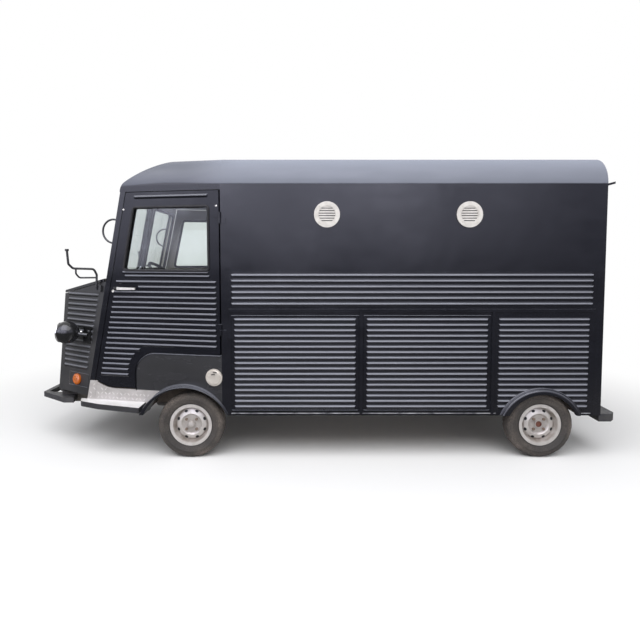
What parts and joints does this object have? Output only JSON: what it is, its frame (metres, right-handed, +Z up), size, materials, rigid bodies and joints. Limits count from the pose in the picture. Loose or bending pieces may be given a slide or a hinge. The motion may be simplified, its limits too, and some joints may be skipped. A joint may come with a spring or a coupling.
{
  "type": "food truck",
  "caption": "Vintage style food truck: tapered cab with rear-hinged doors and raked split screen, corrugated sides, arched roof, serving hatch, rear doors and steered front wheels.",
  "frame": {"origin": "ground under the middle of the bounding box", "axes": "+X forward, +Y to the driver side, +Z up"},
  "size_m": [5, 1.95, 2.5099],
  "materials": {
    "paint": "gloss near-black enamel, lightly dusty",
    "black_steel": "satin black paint over steel tube and bar",
    "glass": "clear flat glass",
    "lamp_glass": "clear domed lens",
    "chrome": "bright plated metal",
    "orange_lens": "moulded orange lens",
    "red_lens": "moulded red lens",
    "bare_aluminium": "raised-pattern sheet, scuffed",
    "white_plastic": "white moulded louvre",
    "rubber": "dusty black rubber",
    "wheel_silver": "silver enamel with brake dust",
    "frame_steel": "black chassis paint, dusty",
    "floor_board": "sealed plywood board",
    "cab_trim": "grained dark plastic",
    "seat_cover": "dark grey woven cover"
  },
  "bodies": {
    "body": {"arch_panels": "paint", "bumpers": "black_steel", "cab_floor": "floor_board", "cab_front": "paint", "cross_members": "frame_steel", "dashboard": "cab_trim", "engine": "frame_steel", "filler_cap": "chrome", "frame_rails": "frame_steel", "front_axle": "frame_steel", "grab_loops": "black_steel", "grille": "paint", "headlamp_lenses": "lamp_glass", "headlamps": "black_steel", "hinge_pins": "black_steel", "indicators": "orange_lens", "kick_plates": "bare_aluminium", "leaf_springs": "frame_steel", "load_floor": "floor_board", "mirror_arms": "black_steel", "nose_shell": "paint", "propshaft": "frame_steel", "rear_axle": "frame_steel", "rear_wall": "paint", "roof": "paint", "seats": "seat_cover", "side_panels": "paint", "side_wall_left": "paint", "side_wall_right": "paint", "steps": "bare_aluminium", "tail_lamps": "red_lens", "vents": "white_plastic", "wheel_flares": "paint", "wheel_houses": "frame_steel", "windscreen": "glass"},
    "cab_door_left": {"cab_door_left": "paint", "door_glass_left": "glass", "door_handle_left": "chrome"},
    "cab_door_right": {"cab_door_right": "paint", "door_glass_right": "glass", "door_handle_right": "chrome"},
    "rear_door_left": {"rear_door_left": "paint"},
    "rear_door_right": {"rear_door_right": "paint"},
    "hatch": {"hatch": "paint"},
    "bonnet": {"bonnet": "paint"},
    "knuckle_left": {"knuckle_left": "frame_steel"},
    "knuckle_right": {"knuckle_right": "frame_steel"},
    "tie_rod": {"tie_rod": "frame_steel"},
    "steering_wheel": {"steering_wheel": "cab_trim"},
    "wheel_front_left": {"tyre_front_left": "rubber", "rim_front_left": "wheel_silver"},
    "wheel_front_right": {"tyre_front_right": "rubber", "rim_front_right": "wheel_silver"},
    "wheel_rear_left": {"tyre_rear_left": "rubber", "rim_rear_left": "wheel_silver"},
    "wheel_rear_right": {"tyre_rear_right": "rubber", "rim_rear_right": "wheel_silver"}
  },
  "joints": [
    {"name": "cab_door_left_swing", "type": "hinge", "parent": "body", "child": "cab_door_left", "pos_m": [0.738, 0.952, 1.061], "axis": [0, 0, 1], "range_deg": [0, 75]},
    {"name": "cab_door_right_swing", "type": "hinge", "parent": "body", "child": "cab_door_right", "pos_m": [0.738, -0.952, 1.061], "axis": [0, 0, -1], "range_deg": [0, 75]},
    {"name": "rear_door_left_swing", "type": "hinge", "parent": "body", "child": "rear_door_left", "pos_m": [-2.357, 0.643, 1.3], "axis": [0, 0, -1], "range_deg": [0, 120]},
    {"name": "rear_door_right_swing", "type": "hinge", "parent": "body", "child": "rear_door_right", "pos_m": [-2.357, -0.643, 1.3], "axis": [0, 0, 1], "range_deg": [0, 120]},
    {"name": "hatch_lift", "type": "hinge", "parent": "body", "child": "hatch", "pos_m": [-0.65, -0.952, 2.107], "axis": [-1, 0, 0], "range_deg": [0, 90]},
    {"name": "bonnet_lift", "type": "hinge", "parent": "body", "child": "bonnet", "pos_m": [1.75668, 0, 1.47763], "axis": [0, -1, 0], "range_deg": [0, 50]},
    {"name": "steer_left", "type": "hinge", "parent": "body", "child": "knuckle_left", "pos_m": [1, 0.74, 0.27], "axis": [0, 0, 1], "range_deg": [-30, 30]},
    {"name": "steer_right", "type": "hinge", "parent": "body", "child": "knuckle_right", "pos_m": [1, -0.74, 0.27], "axis": [0, 0, 1], "range_deg": [-30, 30]},
    {"name": "tie_rod_pivot", "type": "hinge", "parent": "knuckle_left", "child": "tie_rod", "pos_m": [0.86, 0.74, 0.195], "axis": [0, 0, 1], "range_deg": [-31, 31]},
    {"name": "steering_wheel_turn", "type": "hinge", "parent": "body", "child": "steering_wheel", "pos_m": [1.33, 0.39, 1.47], "axis": [-0.6428, 0, 0.766], "range_deg": [-455, 455]},
    {"name": "wheel_front_left_spin", "type": "hinge", "parent": "knuckle_left", "child": "wheel_front_left", "pos_m": [1, 0.85, 0.27], "axis": [0, 1, 0], "continuous": true},
    {"name": "wheel_front_right_spin", "type": "hinge", "parent": "knuckle_right", "child": "wheel_front_right", "pos_m": [1, -0.85, 0.27], "axis": [0, 1, 0], "continuous": true},
    {"name": "wheel_rear_left_spin", "type": "hinge", "parent": "body", "child": "wheel_rear_left", "pos_m": [-1.868, 0.85, 0.27], "axis": [0, 1, 0], "continuous": true},
    {"name": "wheel_rear_right_spin", "type": "hinge", "parent": "body", "child": "wheel_rear_right", "pos_m": [-1.868, -0.85, 0.27], "axis": [0, 1, 0], "continuous": true}
  ],
  "couplings": [
    {"joint": "steer_right", "follows": "steer_left", "ratio": 1},
    {"joint": "tie_rod_pivot", "follows": "steer_left", "ratio": -1},
    {"joint": "steering_wheel_turn", "follows": "steer_left", "ratio": 15}
  ]
}
